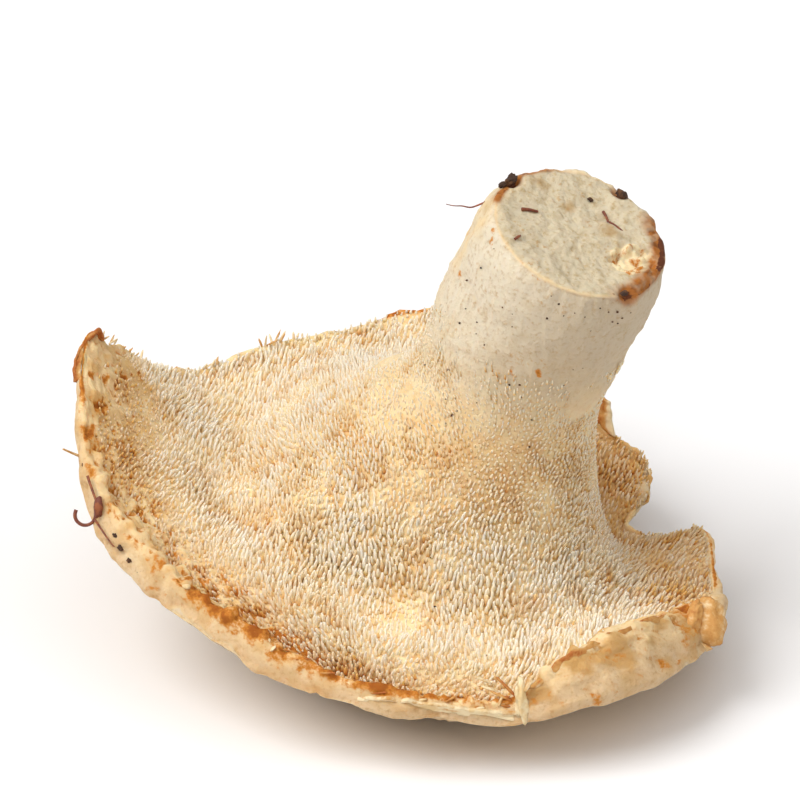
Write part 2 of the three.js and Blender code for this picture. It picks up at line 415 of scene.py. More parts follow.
def giveDepth(shader, reach):
    # light passes a little way into the flesh
    plug(shader, {"Subsurface Weight": 0.6, "Subsurface Radius": (1.0, 0.8, 0.6), "Subsurface Scale": reach,
                  "Specular IOR Level": 0.25})


def addBump(tree, shader, height, strength, distance):
    made = addNode(tree, "ShaderNodeBump", {"Strength": strength, "Distance": distance, "Height": height})
    plug(shader, {"Normal": made.outputs[0]})


print("node groups ready")


# the mushroom's body
# Thin torn edges, finer than the solid has them: for the first rim stations, how far
# the crest moves and the lip's new radius.
edgeTrim = np.array([[-0.6, 0, 0, 1], [0, 0, 0.5, 0.7], [0.2, 0.3, 0.8, 0.6], [0, 0, 0.2, 0.8], [0, 0, 0, 0.9],
                     [0, 0, -0.2, 1], [0, 0, -0.4, 1], [0, 0, -0.6, 1], [0, 0, -0.9, 1.1], [0, 0, -0.9, 1.1],
                     [0, 0, -1, 1.1], [0, 0, -1, 1], [0, 0, -0.9, 1], [0, 0, -0.3, 0.9], [-0.4, 0, 0.2, 0.8],
                     [-0.5, 0.5, 0.5, 0.8], [0.2, 0, 0.5, 1.3], [0.2, 0, 0, 2.2]])
rimStations[:len(edgeTrim), :3] += edgeTrim[:, :3]
rimStations[:len(edgeTrim), 3] = edgeTrim[:, 3]

bodyValues = {
    "segments": 384,
    "ringZones": [(0, 5, 40), (5, 6, 12), (6, 9, 92), (9, 12, 28), (12, 14.7, 42), (14.7, 15.3, 12), (15.3, 17, 29)],
    # relief: size and height of each layer
    "skinRelief": [(15.0, 0.9), (6.0, 0.5), (2.2, 0.22)],
    "lipRelief": [(6.0, 0.4), (2.8, 0.3), (1.2, 0.25)],
    "crumple": 1.5,
    "fieldRelief": [(9.0, 0.5), (3.0, 0.15)],
    "stemRelief": [(11.0, 0.55), (4.0, 0.35), (1.4, 0.16)],
    "cutRelief": [(7.0, 0.45), (2.2, 0.3), (0.9, 0.16)],
    # station, place, reach and height of the larger knobs of the rim
    "knobs": [(16.8, 7.7, 1.2, 0.7), (17.25, 7.35, 1.7, 1.0), (18.0, 7.6, 1.2, 0.6), (18.45, 7.5, 2.0, 1.3),
              (19.0, 8.1, 1.5, 1.0), (19.6, 7.4, 1.2, 0.7), (20.1, 7.2, 1.0, 0.5), (20.65, 7.05, 1.7, 1.0),
              (21.3, 6.95, 1.0, 0.5), (25.6, 7.0, 1.3, 0.7), (26.1, 7.1, 1.2, 0.7), (26.6, 6.9, 1.3, 0.8),
              (27.1, 6.95, 1.2, 0.8), (27.6, 6.85, 1.3, 0.6)],
    # station, place, reach and depth of the torn pockets, then the small stains
    "pockets": [(15.93, 8.18, 1.4, 1.0), (16.5, 7.35, 1.2, 0.8), (15.6, 8.05, 0.7, 0.35), (15.42, 8.28, 0.9, 0.5),
                (15.2, 8.45, 0.9, 0.5), (14.85, 8.5, 0.7, 0.4), (14.45, 8.48, 0.7, 0.35), (14.0, 8.4, 0.7, 0.3),
                (18.85, 7.6, 1.0, 0.5), (17.7, 7.9, 0.9, 0.4), (28.1, 6.9, 1.3, 0.8)],
    "stains": [(18.0, 14.3, 1.0), (16.85, 13.4, 0.9), (22.3, 14.8, 0.9), (17.3, 14.7, 0.9), (24.7, 13.0, 0.8),
               (23.6, 12.9, 0.8), (14.2, 8.5, 1.1), (24.9, 6.1, 0.5), (26.0, 6.25, 0.6), (26.15, 6.1, 0.55),
               (26.45, 6.05, 0.5), (27.0, 6.3, 0.6), (27.2, 6.28, 0.65), (27.45, 6.25, 0.6)],
    "smudges": [(10.35, 15.4, 2.0), (9.0, 16.1, 1.3), (3.6, 16.2, 2.0), (14.4, 14.3, 1.8)],
    # middle, reach and depth of the torn hollow of the cut, then of the notches of its edge
    "cutTear": ([30.6, -7.0, 57.9], 3.8, 1.2),
    "cutNotches": [([14.6, 1.2, 65.3], 1.9, 1.0), ([28.6, 4.6, 61.2], 1.6, 1.0),
                   ([29.8, -13.6, 56.4], 1.9, 0.6)],
    # from station, to station, softness, from place, to place, softness
    "areas": {"rolled": (16.6, 22.0, 0.8, 6.7, 8.7, 0.3), "corner": (13.8, 16.8, 0.5, 7.1, 8.8, 0.3),
              "lipTop": (25.2, 28.3, 0.8, 6.4, 7.5, 0.25), "lobe": (4.4, 7.4, 0.8, 6.9, 10.6, 0.3),
              "groove": (20.4, 25.2, 0.8, 6.7, 8.35, 0.3), "farEdge": (7.8, 9.6, 0.4, 6.3, 7.4, 0.2),
              "earRoot": (27.7, 28.8, 0.4, 6.2, 7.4, 0.3), "shelf": (0.0, 4.2, 0.8, 7.2, 9.8, 0.4),
              "shelfEdge": (0.2, 3.6, 0.3, 6.75, 7.1, 0.12), "shelfWall": (0.4, 2.6, 0.8, 6.6, 8.0, 0.2),
              "cornerEdge": (14.3, 16.1, 0.3, 6.6, 7.4, 0.15), "shoulder": (11.0, 16.2, 0.8, 13.3, 14.98, 0.5),
              "shoulderEdge": (12.0, 14.2, 0.8, 14.5, 15.08, 0.15), "cutFront": (17.0, 26.0, 0.8, 14.85, 15.1, 0.08),
              "cutLeft": (9.0, 14.6, 0.8, 14.82, 15.12, 0.07), "cutRight": (27.0, 4.2, 1.2, 14.7, 15.35, 0.12),
              "cutRim": (27.0, 4.2, 1.2, 14.75, 15.12, 0.06), "farMargin": (4.5, 14.0, 0.8, 6.0, 7.7, 0.3),
              "swelling": (25.1, 26.9, 0.8, 4.6, 6.2, 0.6)},
    # how brown some of them are, and how far the skin swells out at the lower right
    "browned": {"farEdge": 0.7, "earRoot": 0.4, "shelfEdge": 0.7, "cornerEdge": 0.9},
    "swell": 1.6,
}


def ringPlaces():
    # even steps along the mean meridian within each zone
    u = np.linspace(0, 1, 48, endpoint=False)
    places = [0.0]
    for first, last, rings in bodyValues["ringZones"]:
        fine = np.linspace(first, last, 120)
        rows = openSpline(meridianPoints(u), fine)
        steps = np.linalg.norm(np.diff(rows, axis=0), axis=-1).mean(1)
        length = np.concatenate([[0], np.cumsum(steps)])
        places += list(np.interp(np.linspace(0, length[-1], rings + 1)[1:], length, fine))
    return np.array(places)


def layers(points, values, seed):
    return sum(height * bumps(points, size, seed + k) for k, (size, height) in enumerate(values))


def toRow(points):
    return (np.asarray(points) + rowShift) * mm


def nearTo(points, centre, reach, soft=0.5):
    away = np.linalg.norm(points - np.array(centre), axis=-1)
    return 1 - smooth(away, reach * soft, reach)


def areaMasks(t, u):
    return {name: stationSpan(u, *values[:3]) * between(t, *values[3:])
            for name, values in bodyValues["areas"].items()}


def spotMask(points, spots, spread, soft, weighed=False):
    return sum((height[0] if weighed else 1) * nearTo(points, spotOn(station, place)[0], reach * spread, soft)
               for station, place, reach, *height in spots)


def notchMask(rows, spread):
    return sum(nearTo(rows, middle, reach * spread) for middle, reach, _ in bodyValues["cutNotches"])


def bodyMasks(rows, ragged, t, u, here):
    # how much of each colour shows at each point: t is the place, u the share round the rim
    patch = bumps(rows, 3.2, 31)
    fine = bumps(rows, 1.3, 33)
    crease = 1 - smooth(np.abs(bumps(rows, 2.8, 7)), 0.02, 0.15)
    masks = {}
    masks["skin"] = 1 - smooth(t, 6.3, 7.0)
    masks["stem"] = smooth(t, 11.9, 12.9) * (1 - smooth(t, 14.9, 15.05))
    masks["cut"] = smooth(t, 14.95, 15.1)
    wrinkled = np.abs(bumps(rows * [1.0, 1.0, 1.6], 8.0, 61, 3))
    masks["wrinkle"] = (1 - smooth(wrinkled, 0.015, 0.11)) * masks["skin"] * smooth(bumps(rows, 12.0, 62), -0.25, 0.2)

    rust = here["groove"] * (0.45 + 0.6 * smooth(patch, -0.4, 0.2))
    rust += here["rolled"] * (0.1 + 0.6 * crease + 0.3 * smooth(patch, 0.0, 0.4))
    rust += here["corner"] * (0.04 + 0.25 * crease) + here["lipTop"] * (0.05 + 0.3 * crease)
    rust += sum(amount * here[name] for name, amount in bodyValues["browned"].items())
    rust += spotMask(ragged, bodyValues["pockets"], 1.15, 0.4) + 0.7 * spotMask(ragged, bodyValues["stains"], 1, 0.3)
    rust += smooth(fine, 0.4, 0.6) * masks["skin"] * smooth(t, 3.0, 5.5) * 0.3
    masks["rust"] = np.clip(rust, 0, 1)
    masks["smudge"] = spotMask(ragged, bodyValues["smudges"], 1, 0.1)

    # tan patches; on the lobe behind the stem and on the shelf right of it this tan is partly painted shade
    tan = here["corner"] * (0.35 + 0.4 * smooth(patch, -0.2, 0.3)) + here["lobe"] + 0.35 * here["rolled"]
    tan += here["lipTop"] * (0.15 + 0.8 * smooth(patch, -0.1, 0.25)) + 0.5 * here["shelf"]
    tan += between(t, 5.8, 7.2, 0.4) * (0.1 + 0.4 * smooth(patch, -0.1, 0.4))
    masks["tan"] = np.clip(tan, 0, 1)
    # painted shade: the stem is darker round its right side, the side turned away from the key lamp
    masks["shade"] = masks["stem"] * stationSpan(u, 23.0, 6.0, 3.0)
    masks["pale"] = 0.5 * here["shelfWall"]
    warm = 0.3 * between(t, 11.0, 12.9, 0.6) + 0.75 * here["shoulder"] + 0.15 * here["cutFront"]
    masks["warm"] = np.clip(warm * (0.6 + 0.8 * smooth(patch, -0.3, 0.4)), 0, 1)

    edge = 0.04 * between(t, 14.82, 15.12, 0.07) + 0.85 * here["cutLeft"] + 0.5 * here["shoulderEdge"]
    edge += here["cutRight"] * (0.7 + 0.4 * smooth(fine, -0.3, 0.3))
    masks["cutEdge"] = np.clip(edge + 0.8 * notchMask(rows, 1), 0, 1)
    masks["dark"] = np.clip(0.8 * here["cutRim"] * smooth(patch, -0.25, 0.15) + 0.8 * notchMask(rows, 0.6), 0, 1)
    masks["tear"] = nearTo(rows, *bodyValues["cutTear"][:2], 0.7) * smooth(t, 15.0, 15.15)
    return masks


def skinRelief(rows, masks):
    pits = (1 - smooth(cells(rows, 3.6, 2), 0.1, 0.42)) * smooth(bumps(rows, 9.0, 3), -0.1, 0.3)
    relief = masks["skin"] * (layers(rows, bodyValues["skinRelief"], 1) - 0.4 * pits) - 0.35 * masks["wrinkle"]
    return smooth(rows[..., 2], 0.3, 2.0) * relief       # flat where it rests


def lipRelief(rows, ragged, t, u, here):
    relief = between(t, 6.2, 8.3, 0.25) * layers(rows, bodyValues["lipRelief"], 5)
    relief += here["farMargin"] * (0.6 * bumps(rows, 4.5, 63) + 0.25 * bumps(rows, 1.5, 64))
    ridges = np.minimum(np.abs(bumps(rows, 2.8, 7)), 0.5) + 0.5 * np.minimum(np.abs(bumps(rows, 1.1, 8)), 0.5)
    crumpled = (0.45 + 0.55 * stationSpan(u, 16.8, 22.5)) * stationSpan(u, 13.8, 22.5) * between(t, 6.8, 8.6, 0.3)
    crumpled += 0.7 * stationSpan(u, 22.5, 28.6) * between(t, 6.4, 7.7, 0.25)
    relief += np.clip(crumpled, 0, 1) * bodyValues["crumple"] * (ridges - 0.25)
    relief += spotMask(rows, bodyValues["knobs"], 1, 0.15, weighed=True)
    relief -= 0.7 * spotMask(ragged, bodyValues["pockets"], 1.2, 0.1, weighed=True)
    return relief + bodyValues["swell"] * here["swelling"]


def cutRelief(rows, t, masks):
    relief = masks["cut"] * layers(rows, bodyValues["cutRelief"], 17)
    depth = bodyValues["cutTear"][2]
    relief += masks["tear"] * (1.5 * np.abs(bumps(rows, 1.7, 21)) - depth * smooth(bumps(rows, 2.6, 22), -0.3, 0.3))
    for middle, reach, depth in bodyValues["cutNotches"]:
        relief -= depth * nearTo(rows, middle, reach, 0.2) * between(t, 14.6, 15.6, 0.3)
    return relief + between(t, 14.8, 15.1, 0.15) * 0.35 * bumps(rows, 2.4, 23)


def fleshRelief(rows, t, masks):
    field = smooth(t, 7.8, 8.5) * (1 - smooth(t, 11.9, 12.9))
    fibres = 0.14 * bumps(rows * [1.0, 1.0, 0.22], 0.9, 16)
    return (field * layers(rows, bodyValues["fieldRelief"], 9)
            + masks["stem"] * (layers(rows, bodyValues["stemRelief"], 13) + fibres))


def buildBody(material):
    u = np.linspace(0, 1, bodyValues["segments"], endpoint=False)
    places = ringPlaces()
    rows = surface(u, places)
    t, around = np.meshgrid(places, u, indexing="ij")
    # points nudged about, so that spots measured from them come out ragged
    ragged = rows + 0.7 * wobble(rows, 1.5, 71)
    here = areaMasks(t, around)
    masks = bodyMasks(rows, ragged, t, around, here)
    relief = (skinRelief(rows, masks) + lipRelief(rows, ragged, t, around, here)
              + fleshRelief(rows, t, masks) + cutRelief(rows, t, masks))
    rows = rows + gridNormals(rows) * relief[..., None]
    rows[..., 2] = np.maximum(rows[..., 2], 0)

    # a globe whose rings become the rings of the mushroom
    selectOnly()
    rings = len(rows) - 1
    bpy.ops.mesh.primitive_uv_sphere_add(segments=bodyValues["segments"], ring_count=rings, radius=1)
    body = bpy.context.active_object
    globe = getPoints(body)
    ring = np.rint((1 - np.arccos(np.clip(globe[:, 2], -1, 1)) / math.pi) * rings).astype(int)
    turn = np.arctan2(globe[:, 1], globe[:, 0]) / (2 * math.pi)
    segment = np.rint(turn * bodyValues["segments"]).astype(int) % bodyValues["segments"]
    setPoints(body, toRow(rows)[ring, segment])
    for name, values in masks.items():
        setMask(body, name, values[ring, segment])
    keepPiece(body, "mushroomBody", material)
    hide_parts("hedgehog_mushroom")
    return body


# patches of each part: scale, cover, amount, softness, then the two colours
fleshColours = {
    "floor": (330.0, 0.45, 0.6, 0.14, "f8dfb0", "f0c17a"),
    "skin": (170.0, 0.5, 0.7, 0.4, "dcc19a", "caa26e"),
    "stem": (380.0, 0.45, 0.45, 0.3, "e1d5bd", "cdb48a"),
    "cut": (480.0, 0.42, 0.6, 0.25, "d6c8ab", "b29b72"),
    "tear": (560.0, 0.45, 1.0, 0.14, "ead8b0", "c07a2c"),
    "warm": (620.0, 0.3, 0.8, 0.14, "ebcf9c", "dca55a"),
    "cutEdge": (600.0, 0.45, 0.9, 0.14, "a9682a", "7f4818"),
}


def makeFleshMaterial():
    material, tree, shader = newMaterial("flesh", 0.75)
    grain = felted(tree, 1500.0, 0.9)
    base = {name: mottled(tree, values) for name, values in fleshColours.items()}
    whole = {name: mask(tree, name) for name in ("skin", "stem", "cut", "warm", "cutEdge")}
    wander = ease(tree, grain, 0.6, 1.3, (-0.4, 0.4))

    def part(name, share):
        return maths(tree, "MULTIPLY", mask(tree, name), share)

    def crisp(name, low=0.35, high=0.65):
        # a mask given a ragged, sharper edge
        return ease(tree, maths(tree, "ADD", mask(tree, name), wander), low, high)

    scuff = mottled(tree, (620.0, 0.5, 0.5, 0.35), "Mask")
    speckle = mottled(tree, (1700.0, 0.42, 0.6, 0.3), "Mask")
    fleck = mottled(tree, (1500.0, 0.45, 0.6, 0.25), "Mask")
    stemOnly = maths(tree, "MULTIPLY", whole["stem"], ease(tree, whole["stem"], 1.0, 0.4))
    scars = maths(tree, "MULTIPLY", speckled(tree, 520.0, 0.16, 0.34), stemOnly)
    dots = maths(tree, "MULTIPLY", speckled(tree, 700.0, 0.035, 0.2), 0.8)
    skin = layOver(tree, base["skin"], [(scuff, "be8f55"), (speckle, "a67640"), (part("wrinkle", 0.6), "b27f42")])
    # the stem's own flecks, then painted shade darkening its right side
    stem = layOver(tree, base["stem"], [(fleck, "b8986a"), (part("shade", 0.55), "b39d7e")])
    cut = layOver(tree, base["cut"], [(fleck, "b39560")])
    colour = layOver(tree, base["floor"], [
        (whole["skin"], skin), (whole["stem"], stem), (whole["cut"], cut), (crisp("tear"), base["tear"]),
        (part("smudge", 0.65), "a9803f"), (whole["warm"], base["warm"]), (part("tan", 0.8), "c2924f"),
        (crisp("pale"), "ecdfc2"), (crisp("rust", 0.22, 0.7), "cb8430"), (crisp("rust", 0.55, 1.1), "a05812"),
        (whole["cutEdge"], base["cutEdge"]), (crisp("dark"), "5f2f12"), (scars, "c08a3f"), (dots, "5a4326")])
    plug(shader, {"Base Color": colour})
    addBump(tree, shader, grain, 0.6, 0.0005)
    giveDepth(shader, 0.0009)
    return material


body = buildBody(makeFleshMaterial())
print("body ready:", len(body.data.polygons), "faces")

# the spines
spineValues = {
    "gap": 0.52,              # how close together two of them stand
    "tries": 130000,
    "field": (7.0, 12.9),     # places between which they may stand
    "length": 1.4,
    "thick": 0.31,            # radius at the foot
    "sides": 5,
    "sunk": 0.3,
    "growth": (0.10, -0.16, 1.0),
    "lean": 0.75,             # 0 stands square to the flesh, 1 follows the growth
    "sway": 0.07,
    "flecks": (0.08, 0.55),   # share of single brown ones, and how brown
    "bareSpot": ([-0.7, -20.8, 12.1], 7.0),
    "seed": 11,
    "kinds": ((0.10, 0.12), (-0.3, 0.05), (0.4, 0.0)),    # how far each bends and swells
    # Where the field begins and ends, and what changes round the rim. A change is its amount, the
    # stations it runs between, how soft its ends are and, if it fades away, the places where it does.
    "starts": (7.75, [(-0.55, 7.4, 13.7, 0.8), (-0.4, 4.4, 7.4, 0.8), (0.95, 13.8, 16.2, 0.8),
                      (0.45, 16.6, 21.0, 0.8), (-0.3, 4.9, 7.2, 0.8)]),
    "ends": (12.45, [(-1.2, 0.4, 4.8, 1.2), (-0.3, 5.5, 13.0, 0.8)]),
    "droop": [(0.7, 19.5, 25.4, 0.8, 7.8, 9.4), (0.45, 27.5, 4.0, 0.8, 9.5, 11.0), (0.5, 4.4, 7.4, 0.8)],
    "shorter": [[(0.45, 3.8, 7.6, 0.8), (0.2, 8.0, 18.0, 0.8), (0.3, 0.5, 3.8, 0.8)],
                [(0.25, 14.0, 20.5, 0.8, 8.4, 9.6)], [(0.12, 24.0, 0.5, 0.8)]],
    "thicker": [(0.1, 24.0, 0.5, 0.8)],
    # browner spines on the lobe behind the stem and on the shelf right of it: partly their own brown, partly painted
    # shade
    "brown": [(0.85, 4.3, 7.5, 0.8), (0.6, 28.3, 4.3, 0.5, 9.3, 10.2)],
    "brownEdge": [(0.65, 16.5, 25.4, 0.8, 0.1, 1.1), (0.8, 13.8, 17.0, 0.5, 0.0, 0.7)],   # from the field's start
    "footColours": ("fee0aa", "f8ca82"),
    "tipColours": ("fef4e0", "fceac8"),
    "brownColours": ("bd742a", "dfab66"),
}


def modelSpine(bend, waist):
    # a blunt cone, cut across, swelled and bent
    selectOnly()
    bpy.ops.mesh.primitive_cone_add(vertices=spineValues["sides"], radius1=1, radius2=0.42, depth=1,
                                    end_fill_type="NGON", location=(0, 0, 0.5))
    spine = bpy.context.active_object
    bpy.ops.object.transform_apply(location=True, rotation=True, scale=True)
    bpy.ops.object.mode_set(mode="EDIT")
    for level in (0.35, 0.72):
        bpy.ops.mesh.select_all(action="SELECT")
        bpy.ops.mesh.bisect(plane_co=(0, 0, level), plane_no=(0, 0, 1))
    bpy.ops.object.mode_set(mode="OBJECT")
    points = getPoints(spine)
    faces = [tuple(f.vertices) for f in spine.data.polygons]
    bpy.data.objects.remove(spine)
    top = next(f for f in faces if all(points[i][2] > 0.99 for i in f))
    faces.remove(top)
    points = np.vstack([points, [0, 0, 1.08]])
    faces += [(top[i], top[(i + 1) % len(top)], len(points) - 1) for i in range(len(top))]
    swell = 1 + waist * np.sin(points[:, 2].clip(0, 1) * math.pi)
    points[:, :2] *= swell[:, None]
    points[:, 0] += bend * points[:, 2]**2
    return points, faces


def rimChanges(u, changes, places=0, start=0):
    total = start
    for amount, first, last, soft, *fade in changes:
        left = 1 - smooth(places, *fade) if fade else 1
        total = total + amount * stationSpan(u, first, last, soft) * left
    return total


def fieldEdges(u):
    return [rimChanges(u, changes, start=start) for start, changes in (spineValues["starts"], spineValues["ends"])]


def scatterSpines():
    # throw places at the field and keep those with room around them
    draw = np.random.default_rng(spineValues["seed"])
    count = spineValues["tries"]
    fineU = np.linspace(0, 1, 600, endpoint=False)
    finePlaces = np.linspace(*spineValues["field"], 260)
    rows = surface(fineU, finePlaces)
    normals = gridNormals(rows)
    area = np.linalg.norm(np.cross(np.roll(rows, -1, 1) - rows, np.gradient(rows, axis=0)), axis=-1)
    chosen = draw.choice(area.size, count, p=(area / area.sum()).ravel())
    row, column = np.unravel_index(chosen, area.shape)
    row = np.clip(row + draw.random(count) - 0.5, 0, len(rows) - 1.001)
    column = column + draw.random(count) - 0.5
    low, lowColumn = row.astype(int), np.floor(column).astype(int)
    a, b = (row - low)[:, None], (column - lowColumn)[:, None]

    def sample(grid):
        left, right = lowColumn % len(fineU), (lowColumn + 1) % len(fineU)
        return ((1 - a) * ((1 - b) * grid[low, left] + b * grid[low, right])
                + a * ((1 - b) * grid[low + 1, left] + b * grid[low + 1, right]))

    spots, directions = sample(rows), sample(normals)
    places = np.interp(row, np.arange(len(finePlaces)), finePlaces)
    around = (column / len(fineU)) % 1.0
    first, last = fieldEdges(around)
    loose = draw.normal(0, 0.13, count)
    free = (places > first + 1.5 * loose) & (places < last + 3 * loose)
    tree = kdtree.KDTree(count)
    for i, spot in enumerate(spots):
        tree.insert(spot, i)
    tree.balance()
    kept = []
    for i in np.flatnonzero(free):
        if not free[i]:
            continue
        kept.append(i)
        for spot, j, away in tree.find_range(spots[i], spineValues["gap"]):
            free[j] = False
    return spots[kept], directions[kept], places[kept], around[kept], draw


def spineAxes(spots, normals, places, around, draw):
    drift = 0.3 * wobble(spots, 14.0, 41) + 0.17 * wobble(spots, 2.6, 45)
    lean = spineValues["lean"]
    axes = normals * (1 - lean) + unit(spineValues["growth"]) * lean + drift
    axes += draw.normal(0, spineValues["sway"], (len(spots), 3))
    outward = unitRows((spots - skinMiddle) * [1, 1, 0])
    axes = unitRows(axes + outward * rimChanges(around, spineValues["droop"], places)[:, None])
    rise = np.sum(axes * normals, axis=1)
    least = 0.30 - 0.23 * smooth(places, 10.8, 12.0)
    return unitRows(axes + normals * np.clip(least - rise, 0, 1)[:, None])


def spineFrames(axes, turn):
    # the two directions across each spine, then its own
    helper = unitRows(np.array([1.0, 0.0, 0.0]) - axes[:, :1] * axes)
    across = np.cross(axes, helper)
    side = helper * np.cos(turn)[:, None] + across * np.sin(turn)[:, None]
    return np.stack([side, np.cross(axes, side), axes], axis=1)


def planSpines():
    # the foot, directions, size, kind and colours of every spine
    spots, normals, places, around, draw = scatterSpines()
    count = len(spots)
    axes = spineAxes(spots, normals, places, around, draw)
    first, last = fieldEdges(around)
    fade = smooth(places, first - 0.1, first + 0.7) * 0.5 + 0.5
    fade *= 1 - 0.55 * smooth(places, last - 2.2, last)
    for changes in spineValues["shorter"]:
        fade *= 1 - rimChanges(around, changes, places)
    fade *= 1 - 0.6 * nearTo(spots, *spineValues["bareSpot"], 0.4)
    length = spineValues["length"] * fade * (0.72 + 0.5 * draw.random(count))
    thick = spineValues["thick"] * (0.8 + 0.4 * draw.random(count)) * (0.55 + 0.45 * fade.clip(0, 1))
    thick *= 1 - 0.35 * smooth(places, last - 1.6, last) + rimChanges(around, spineValues["thicker"])
    frames = spineFrames(axes, draw.random(count) * 2 * math.pi)
    kind = draw.integers(0, len(spineValues["kinds"]), count)

    tint = np.clip(0.5 + 0.7 * bumps(spots, 7.0, 51) + 0.25 * draw.normal(0, 1, count)
                   + 0.5 * smooth(places, 11.0, 12.0), 0, 1)
    # brown spines: the lobe and shelf parts are partly painted shade, the edges and flecks their own brown
    rust = rimChanges(around, spineValues["brown"], places)
    rust += rimChanges(around, spineValues["brownEdge"], places - first)
    rust = rust * (0.4 + 0.9 * draw.random(count)) + 0.35 * smooth(bumps(spots, 4.0, 53), 0.25, 0.5)
    rust += spineValues["flecks"][1] * (draw.random(count) < spineValues["flecks"][0])
    sunk = spineValues["sunk"]
    order = np.argsort(np.arctan2(spots[:, 1] - stemFoot[1], spots[:, 0] - stemFoot[0]))
    return order, {"foot": spots - axes * sunk, "frame": frames, "kind": kind, "tint": tint, "rust": rust,
                   "size": np.stack([thick, thick, length + sunk], axis=1)}


def growSpines(shapes, plan):
    # points, faces and masks of many spines together
    allPoints, allFaces, masks = [], [], {"tipward": [], "tint": [], "rust": []}
    start = 0
    for k, (points, faces) in enumerate(shapes):
        some = {name: values[plan["kind"] == k] for name, values in plan.items()}
        count, n = len(some["kind"]), len(points)
        allPoints.append((some["foot"][:, None] + (points * some["size"][:, None]) @ some["frame"]).reshape(-1, 3))
        allFaces += [tuple(start + i * n + v for v in face) for i in range(count) for face in faces]
        masks["tipward"].append(np.tile(points[:, 2], count))
        for name in ("tint", "rust"):
            masks[name].append(np.repeat(some[name], n))
        start += count * n
    return np.concatenate(allPoints), allFaces, {name: np.concatenate(values) for name, values in masks.items()}


def buildSpines(material):
    order, plan = planSpines()
    shapes = [modelSpine(*kind) for kind in spineValues["kinds"]]
    for part, name in enumerate(("spinesFront", "spinesRight", "spinesBack")):
        here = np.sort(order[part * len(order) // 3:(part + 1) * len(order) // 3])
        points, faces, masks = growSpines(shapes, {key: values[here] for key, values in plan.items()})
        mesh = bpy.data.meshes.new(name)
        mesh.from_pydata(toRow(points).tolist(), [], faces)
        spines = bpy.data.objects.new(name, mesh)
        bpy.context.collection.objects.link(spines)
        for maskName, values in masks.items():
            setMask(spines, maskName, values)
        keepPiece(spines, name, material)
        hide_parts("hedgehog_mushroom")
        print(name, len(here), "spines,", sum(len(f) - 2 for f in faces), "triangles")


def makeSpineMaterial():
    material, tree, shader = newMaterial("spine", 0.6)

    def blend(level, name):
        return mixColours(tree, level, *map(linear, spineValues[name]))

    tint, tipward = mask(tree, "tint"), mask(tree, "tipward")
    colour = mixColours(tree, ease(tree, tipward, 0.1, 0.64), blend(tint, "footColours"), blend(tint, "tipColours"))
    browned = blend(ease(tree, tipward, 0.0, 0.9), "brownColours")
    colour = mixColours(tree, maths(tree, "MINIMUM", mask(tree, "rust"), 1.0), colour, browned)
    plug(shader, {"Base Color": colour})
    giveDepth(shader, 0.0014)
    return material


buildSpines(makeSpineMaterial())
print("spines ready")


# knobs, flaps and torn edges of the rim
def addLump(centre, radii, along, up, rough, seed, level):
    # an icosphere pressed to size, with an uneven surface
    selectOnly()
    bpy.ops.mesh.primitive_ico_sphere_add(subdivisions=level, radius=1)
    lump = bpy.context.active_object
    points = getPoints(lump)
    swell = 1 + rough * bumps(points, 0.8, seed) + 0.4 * rough * bumps(points, 0.3, seed + 1)
    across = unit(np.cross(up, along))
    basis = np.array([unit(along), across, np.cross(unit(along), across)])
    setPoints(lump, toRow(np.asarray(centre) + (points * swell[:, None] * radii) @ basis))
    setMask(lump, "rust", smooth(-points[:, 2], -0.5, 0.5))
    return lump


def addSliver(foot, tip, width, thick, rust, seed, rough=0.3, level=2):
    foot, tip = np.asarray(foot), np.asarray(tip)
    axis = tip - foot
    sliver = addLump((foot + tip) / 2, (np.linalg.norm(axis) / 2, width / 2, thick / 2), axis,
                     imageUp + [0, -0.6, 0.01], rough, seed, level)
    setMask(sliver, "rust", rust)
    return sliver


def addSheet(rows, thickness, rust):
    # a grid laid through rows of points, then given its thickness
    deep, wide = rows.shape[:2]
    selectOnly()
    bpy.ops.mesh.primitive_grid_add(x_subdivisions=wide - 1, y_subdivisions=deep - 1, size=2)
    sheet = bpy.context.active_object
    flat = getPoints(sheet)
    column = np.rint((flat[:, 0] + 1) / 2 * (wide - 1)).astype(int)
    row = np.rint((flat[:, 1] + 1) / 2 * (deep - 1)).astype(int)
    setPoints(sheet, toRow(rows[row, column]))
    setMask(sheet, "rust", rust[row, column])
    wall = sheet.modifiers.new("wall", "SOLIDIFY")
    wall.thickness = thickness * mm
    wall.offset = 0
    bpy.ops.object.modifier_apply(modifier="wall")
    turnOutwards(sheet)
    return sheet


def turnOutwards(obj):
    selectOnly(obj)
    bpy.ops.object.mode_set(mode="EDIT")
    bpy.ops.mesh.select_all(action="SELECT")
    bpy.ops.mesh.normals_make_consistent(inside=False)
    bpy.ops.object.mode_set(mode="OBJECT")


def addThread(points, radius, thinEnd):
    # a round thread along a smooth curve, thinner at its end
    curve = bpy.data.curves.new("thread", "CURVE")
    curve.dimensions = "3D"
    curve.bevel_depth = radius * mm
    curve.bevel_resolution = 2
    curve.use_fill_caps = True
    spline = curve.splines.new("NURBS")
    spline.points.add(len(points) - 1)
    spline.use_endpoint_u = True
    spline.order_u = 4
    for k, (knot, place) in enumerate(zip(spline.points, toRow(points))):
        knot.co = (*place, 1.0)
        knot.radius = 1 - (1 - thinEnd) * k / (len(points) - 1)
    thread = bpy.data.objects.new("thread", curve)
    bpy.context.collection.objects.link(thread)
    selectOnly(thread)
    bpy.ops.object.convert(target="MESH")
    thread = bpy.context.active_object
    turnOutwards(thread)
    return thread


def joinPieces(parts, name, material):
    selectOnly(*parts)
    if len(parts) > 1:
        bpy.ops.object.join()
    keepPiece(bpy.context.active_object, name, material)


